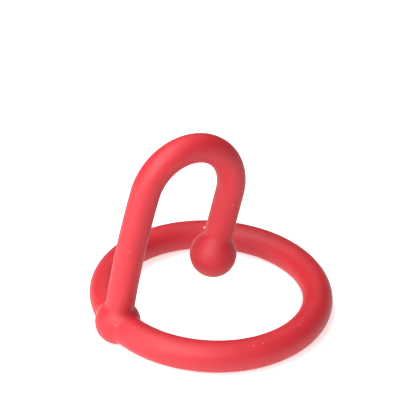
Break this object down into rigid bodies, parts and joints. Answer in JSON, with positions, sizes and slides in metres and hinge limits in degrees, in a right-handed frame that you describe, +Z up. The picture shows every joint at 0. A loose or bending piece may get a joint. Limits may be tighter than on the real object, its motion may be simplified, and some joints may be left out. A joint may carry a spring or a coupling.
{
  "type": "soft ring with ball-ended hook",
  "caption": "Soft round ring with a springy rod hook that rises from a ball on the ring, turns over in a bow and ends in a ball above the ring's centre.",
  "frame": {"origin": "middle of the footprint, on the surface that the object lies on", "axes": "+Z up from that surface; +X across the ring from the base ball to the ring's far side, in the hook's own plane; +Y completes the frame"},
  "size_m": [0.0412, 0.04, 0.0337],
  "materials": {
    "silicone": "matte, slightly silky moulded silicone"
  },
  "bodies": {
    "ring": {"ring": "silicone"},
    "base_ball": {"base_ball": "silicone"},
    "stem": {"stem": "silicone", "bow_rise": "silicone"},
    "tip": {"bow_fall": "silicone", "tip_leg": "silicone", "tip_ball": "silicone"}
  },
  "joints": [
    {"name": "ring_twist", "type": "hinge", "parent": "ring", "child": "base_ball", "pos_m": [-0.01692, 0, 0.00365], "axis": [0, 1, 0], "range_deg": [-30, 18], "stiffness_Nm_per_rad": 0.0055},
    {"name": "neck_sway", "type": "hinge", "parent": "base_ball", "child": "stem", "pos_m": [-0.016, 0, 0.00897], "axis": [0.9821, 0, -0.1884], "range_deg": [-25, 25], "stiffness_Nm_per_rad": 0.004},
    {"name": "bow_flex", "type": "hinge", "parent": "stem", "child": "tip", "pos_m": [-0.00381, 0, 0.03136], "axis": [0, -1, 0], "range_deg": [-18, 20], "stiffness_Nm_per_rad": 0.0017}
  ]
}
